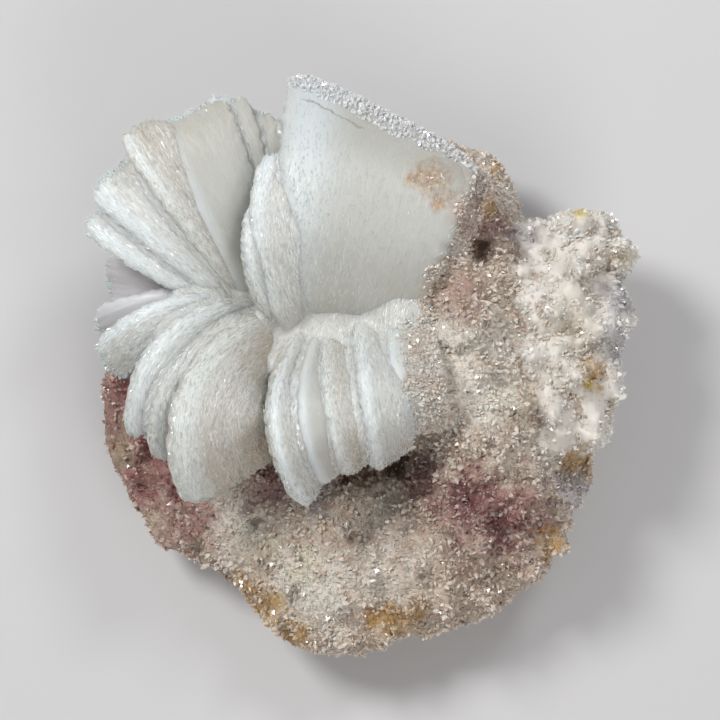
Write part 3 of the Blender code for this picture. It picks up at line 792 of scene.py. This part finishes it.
# Small crystals, joined from arrays. Each template stands on its foot along +Z, one unit long and wide
def wedgeTemplate():
    # flattened prism with shoulders and a chisel edge
    corners = ((-0.5, -0.3), (0.5, -0.3), (0.5, 0.3), (-0.5, 0.3))
    points = [(x, y, 0.0) for x, y in corners] + [(x, y, 0.62) for x, y in corners]
    points += [(-0.16, 0.0, 1.0), (0.16, 0.0, 1.0)]
    faces = [(3, 2, 1, 0), (0, 1, 5, 4), (1, 2, 6, 5), (2, 3, 7, 6), (3, 0, 4, 7)]
    faces += [(4, 5, 9, 8), (6, 7, 8, 9), (5, 6, 9), (7, 4, 8)]
    return np.array(points), faces


def needleTemplate():
    # long double point, flattened
    points = [(0, 0, 0), (0.5, 0, 0.45), (0, 0.35, 0.45), (-0.5, 0, 0.45), (0, -0.35, 0.45), (0, 0, 1)]
    faces = [(0, 2, 1), (0, 3, 2), (0, 4, 3), (0, 1, 4), (5, 1, 2), (5, 2, 3), (5, 3, 4), (5, 4, 1)]
    return np.array(points), faces


def crystalField(name, template, places, material):
    # places: foot, direction, sideways hint, length, width, tone
    points, faces = template
    verts = np.empty((len(places), len(points), 3))
    tones = np.empty(len(places))
    for index, (foot, way, hint, length, width, tone) in enumerate(places):
        side = way.cross(hint).normalized()
        other = side.cross(way)
        basis = np.array((side * width, other * width, way * length))
        verts[index] = points @ basis + np.array(foot)
        tones[index] = tone
    offsets = np.arange(len(places)) * len(points)
    allFaces = [tuple(int(corner + offset) for corner in face) for offset in offsets for face in faces]
    mesh = bpy.data.meshes.new(name)
    mesh.from_pydata(verts.reshape(-1, 3).tolist(), [], allFaces)
    tone = mesh.attributes.new("tone", "FLOAT", "POINT")
    tone.data.foreach_set("value", np.repeat(tones, len(points)))
    mesh.materials.append(material)
    piece = bpy.data.objects.new(name, mesh)
    bpy.context.scene.collection.objects.link(piece)
    return piece


def fieldPieces(name, template, places, material, node, perPiece):
    for number, start in enumerate(range(0, len(places), perPiece), start=1):
        piece = crystalField(f"{name}_{number}", template, places[start:start + perPiece], material)
        dress(piece, node)


# Frosting: needles along the petals' fibres and teeth on their tips and edges, by the look and for each
# centimetre of a petal's mean width; then the needles of the core near the heart and of the broad face
frosting = {"seed": 5, "needles": {"pale": 650, "tan": 900, "glassy": 90, "grey": 60},
            "teeth": {"pale": 240, "tan": 220, "glassy": 150, "grey": 120}, "core": 3000, "sparkle": 2200,
            "length": (0.5, 1.3), "width": (0.09, 0.2), "sink": 0.35,
            "toothLength": (0.6, 1.6), "toothWidth": (0.25, 0.5), "toothSink": 0.5,
            "heartReach": 16, "heartFloor": 30, "perPiece": 20000}


def petalFrost():
    chance = random.Random(frosting["seed"])
    white, tan = [], []
    for petal in allPetals:
        breadth = (petal.rootWidth + petal.tipWidth) / 20
        heap = tan if petal.look == "tan" else white
        for _ in range(int(frosting["needles"][petal.look] * breadth)):
            along = chance.uniform(0.15, 0.985)
            turn = chance.uniform(0.03, 0.97) * math.pi
            here = petal.point(along, math.cos(turn), math.sin(turn))
            ahead = petal.point(min(1.0, along + 0.01), math.cos(turn), math.sin(turn))
            wide, face = petal.axes(along)[2:]
            outward = (face * math.sin(turn) + wide * math.cos(turn) * 0.6).normalized()
            way = (ahead - here).normalized()
            way = (way + outward * chance.uniform(0.02, 0.35) + wide * chance.uniform(-0.2, 0.2)).normalized()
            length = chance.uniform(*frosting["length"])
            foot = (here - way * length * frosting["sink"] + centring) * mm
            width = chance.uniform(*frosting["width"])
            heap.append((foot, way, outward, length * mm, width * mm, chance.random()))
        for _ in range(int(frosting["teeth"][petal.look] * breadth)):
            onTip = chance.random() < (0.92 if petal.look in ("glassy", "grey") else 0.6)
            along = chance.uniform(0.97, 0.999) if onTip else chance.uniform(0.3, 0.98)
            across = chance.uniform(-1, 1) if onTip else chance.choice((-1, 1)) * chance.uniform(0.93, 1.0)
            above = math.sqrt(max(0.0, 1 - across * across)) * chance.choice((-0.5, 1, 1))
            here = petal.point(along, across, above)
            tangent, wide, face = petal.axes(along)[1:]
            way = tangent * (1.0 if onTip else 0.75) + wide * across * chance.uniform(0.1, 0.7)
            way = (way + face * chance.uniform(-0.15, 0.45)).normalized()
            length = chance.uniform(*frosting["toothLength"])
            foot = (here - way * length * frosting["toothSink"] + centring) * mm
            width = chance.uniform(*frosting["toothWidth"])
            heap.append((foot, way, face, length * mm, width * mm, chance.random()))
    return white, tan


def faceFrost(petal):
    # the broad face glitters in its lower left, and less and less away from there
    chance = random.Random(frosting["seed"] + 2)
    places = []
    while len(places) < frosting["sparkle"]:
        along = chance.uniform(0.1, 0.95)
        across = chance.uniform(-1.0, 0.9)
        if chance.random() > math.exp(-((across + 1) / 0.7 + (along - 0.2) / 0.45)):
            continue
        here = petal.point(along, across, math.sqrt(1 - across * across))
        tangent, wide, face = petal.axes(along)[1:]
        way = (tangent + face * chance.uniform(0.0, 0.3) + wide * chance.uniform(-0.3, 0.2)).normalized()
        length = chance.uniform(*frosting["length"])
        foot = (here - way * length * frosting["sink"] + centring) * mm
        width = chance.uniform(*frosting["width"])
        places.append((foot, way, face, length * mm, width * mm, chance.random()))
    return places


def coreFrost():
    # needles on the skin between the petals near the heart, lying along its fibres
    chance = random.Random(frosting["seed"] + 1)
    faces = corePiece.data.polygons
    places = []
    while len(places) < frosting["core"]:
        face = faces[chance.randrange(len(faces))]
        place = face.center / mm - centring
        fromRoots = place.y - fused["rootLine"]
        if face.normal.z < 0.1 or abs(fromRoots) > frosting["heartReach"] or place.z < frosting["heartFloor"]:
            continue
        heading = Vector((place.x * 0.03 + 0.1, 1.0 if fromRoots > 0 else -1.0, 0.0))
        way = (heading - face.normal * heading.dot(face.normal)).normalized()
        way = (way + face.normal * chance.uniform(0.02, 0.35)).normalized()
        length = chance.uniform(*frosting["length"])
        foot = face.center - way * length * frosting["sink"] * mm
        width = chance.uniform(*frosting["width"])
        places.append((foot, way, face.normal.copy(), length * mm, width * mm, chance.random()))
    return places


whiteFrost, tanFrost = petalFrost()
whiteFrost += coreFrost()
whiteFrost += faceFrost(next(petal for petal in allPetals if petal.name == "wideTop"))
for name, places, material in (("petalFrost", whiteFrost, whiteNeedle), ("silkFrost", tanFrost, tanNeedle)):
    fieldPieces(name, needleTemplate(), places, material, "flower", frosting["perPiece"])
print("frost done", len(whiteFrost), len(tanFrost))


# Druse: small crystals over the rock's crust, the pale growth and the right of the flower. Each field has a
# count and a scale; the edge is how far right (x) the smooth part of the flower reaches at a height (y)
druse = {"seed": 3, "perPiece": 11000,
         "rock": (34500, 1.0), "side": (4700, 0.9), "flower": (9600, 0.8), "end": (2400, 0.75),
         "length": (0.65, 2.3), "width": (0.33, 1.05), "sink": 0.45, "lean": 0.75,
         "bareBelow": 6.0, "crustFloor": 12.0, "pit": (23.7, 22.1, 2.5),
         "overgrown": ("wideTop", "topRight", "frontBright", "frontEnd", "frontSilk"),
         "edge": ((-24, 12), (-14, 11.5), (-8, 10), (0, 9), (6, 8), (14, 13), (24, 17), (33, 20), (48, 21.5)),
         "endMiddle": (4.8, 48.3), "endSlope": 0.48, "endDepth": 3.6, "endLeft": -14}


def surfacePlaces(pieces, field, chance, keep):
    # places spread by area, each kept by the chance that keep gives it
    count, scale = druse[field]
    faces = [(piece.data, polygon.index) for piece in pieces for polygon in piece.data.polygons]
    total = np.cumsum([mesh.polygons[index].area for mesh, index in faces])
    places = []
    while len(places) < count:
        mesh, index = faces[int(np.searchsorted(total, chance.random() * total[-1]))]
        face = mesh.polygons[index]
        corners = [mesh.vertices[corner].co for corner in face.vertices]
        weights = [chance.random() for _ in corners]
        here = sum((corner * weight for corner, weight in zip(corners, weights)), Vector()) / sum(weights)
        if chance.random() > keep(here, face.normal):
            continue
        lean = Vector((chance.uniform(-1, 1), chance.uniform(-1, 1), chance.uniform(-1, 1))) * druse["lean"]
        way = (face.normal + lean + Vector((0, 0, 0.25))).normalized()
        hint = Vector((chance.uniform(-1, 1), chance.uniform(-1, 1), chance.uniform(-1, 1)))
        size = chance.random() ** 2.4
        length = between(druse["length"], size) * scale
        width = between(druse["width"], size) * scale
        foot = here - way * length * druse["sink"] * mm
        places.append((foot, way, hint, length * mm, width * mm, chance.random()))
    return places


def rockShare(here, normal):
    # full on the crust, thinning down the sides, bare on the back and in the pit
    x, y, z = petalsFrame(here)
    pitX, pitY, pitRadius = druse["pit"]
    if z < 4.0 or normal.z < -0.5 or math.hypot(x - pitX, y - pitY) < pitRadius:
        return 0.0
    level = clamp((z - druse["bareBelow"]) / (druse["crustFloor"] - druse["bareBelow"]))
    cavity = math.exp(-((x - 2) / 7) ** 2 - ((y + 21) / 5) ** 2)
    lobe = clamp((-30 - x) / 6)
    return (0.12 + 0.88 * level) * (1 - 0.6 * cavity) * (1 - 0.5 * lobe)


def sideShare(here, normal):
    # patches, and all along the flanks; the rest stays smooth and milky
    patches = clamp(0.4 + 2.2 * noise.noise(here / 0.007))
    return clamp(patches + 1.2 * (0.75 - normal.z), 0.06, 1.0)


def crustEdge(y):
    line = druse["edge"]
    for (low, start), (high, end) in zip(line, line[1:]):
        if y <= high:
            return start + (end - start) * clamp((y - low) / (high - low))
    return line[-1][1]


def flowerShare(here, normal):
    # right of the crust's edge, on what faces up
    x, y, z = petalsFrame(here)
    ragged = 3.5 * noise.noise(here / 0.006) + 2.0 * noise.noise(here / 0.0022)
    return clamp((x - crustEdge(y) + ragged + 1.0) / 6.0) ** 1.3 if normal.z > 0.0 else 0.0


def endShare(here, normal):
    # the broken end of the broad petal
    x, y, z = petalsFrame(here)
    rim = druse["endMiddle"][1] - druse["endSlope"] * (x - druse["endMiddle"][0])
    start = rim - druse["endDepth"] + 1.2 * noise.noise(here / 0.004)
    return 1.0 if y > start and x > druse["endLeft"] else 0.0


overgrown = [petalPieces[name] for name in druse["overgrown"]] + [corePiece]
broadPetal = [petalPieces["wideTop"]]
fields = (
    ("rock", [rockPiece, seamPiece], rockShare, rosyDruse, "matrix", "crusted_rock"),
    ("side", [sidePiece], sideShare, cloudyDruse, "side_crystals", "cloudy_gypsum"),
    ("flower", overgrown, flowerShare, rosyDruse, "flower", "satin_gypsum"),
    ("end", broadPetal, endShare, silverDruse, "flower", "satin_gypsum"),
)
chance = random.Random(druse["seed"])
for field, pieces, keep, material, node, slot in fields:
    places = surfacePlaces(pieces, field, chance, keep)
    fieldPieces(field + "Druse", wedgeTemplate(), places, material, node, druse["perPiece"])
print("druse done")


# Stage, lights and camera. Soft lights have a place, size, power and colour, and the camera's height is in mm
stage = {
    "floorColour": (0.60, 0.60, 0.61), "floorSize": 3.0, "aim": (0, 0, 0.03), "height": 630.0, "lens": 150.0,
    "soft": {"keyLight": ((-0.40, 0.36, 0.70), 0.24, 4.9, (1.0, 0.99, 0.98)),
             "topLight": ((0.25, 0.45, 0.65), 0.18, 1.5, (0.97, 0.98, 1.0)),
             "fillLight": ((0.30, -0.55, 0.60), 0.6, 2.6, (1.0, 0.95, 0.90))},
    "glints": ((-0.25, 0.10, 0.75), (0.12, 0.50, 0.60), (-0.50, -0.20, 0.55), (0.42, 0.06, 0.60),
               (0.05, -0.30, 0.75)),
    "glintSize": 0.05, "glintPower": 0.8, "sky": (0.85, 0.86, 0.88), "skyStrength": 0.26,
}


def softLight(name, place, size, power, colour):
    data = bpy.data.lights.new(name, "AREA")
    data.shape = "DISK"
    data.size = size
    data.energy = power
    data.color = colour
    lamp = bpy.data.objects.new(name, data)
    lamp.location = place
    lamp.rotation_euler = (Vector(stage["aim"]) - lamp.location).to_track_quat("-Z", "Y").to_euler()
    bpy.context.scene.collection.objects.link(lamp)
    return lamp


def buildLights():
    for name, (place, size, power, colour) in stage["soft"].items():
        softLight(name, place, size, power, colour)
    # glints are seen only in reflections, so that facets flash without hard shadows
    for number, place in enumerate(stage["glints"], start=1):
        glint = softLight(f"glint_{number}", place, stage["glintSize"], stage["glintPower"], (1.0, 1.0, 1.0))
        glint.visible_diffuse = False
        glint.visible_transmission = False
    world = bpy.data.worlds.new("studio")
    world.use_nodes = True
    setInputs(world.node_tree.nodes["Background"],
              {"Color": (*stage["sky"], 1.0), "Strength": stage["skyStrength"]})
    bpy.context.scene.world = world


def buildFloor():
    bm = bmesh.new()
    bmesh.ops.create_grid(bm, x_segments=1, y_segments=1, size=stage["floorSize"])
    floorMaterial, tree, shader = newMaterial("studioFloor")
    setInputs(shader, {"Base Color": (*stage["floorColour"], 1.0), "Roughness": 0.8})
    floor = linkMesh("studioFloor", bm, floorMaterial, smooth=False)


def buildCamera():
    # looks straight down on the middle of the petals' frame
    data = bpy.data.cameras.new("camera")
    data.lens = stage["lens"]
    data.sensor_width = 36.0
    data.clip_start = 0.01
    camera = bpy.data.objects.new("camera", data)
    camera.location = (centring.x * mm, centring.y * mm, stage["height"] * mm)
    bpy.context.scene.collection.objects.link(camera)
    bpy.context.scene.camera = camera
    bpy.context.scene.view_settings.view_transform = "Standard"


buildFloor()
buildLights()
buildCamera()
print("stage done")
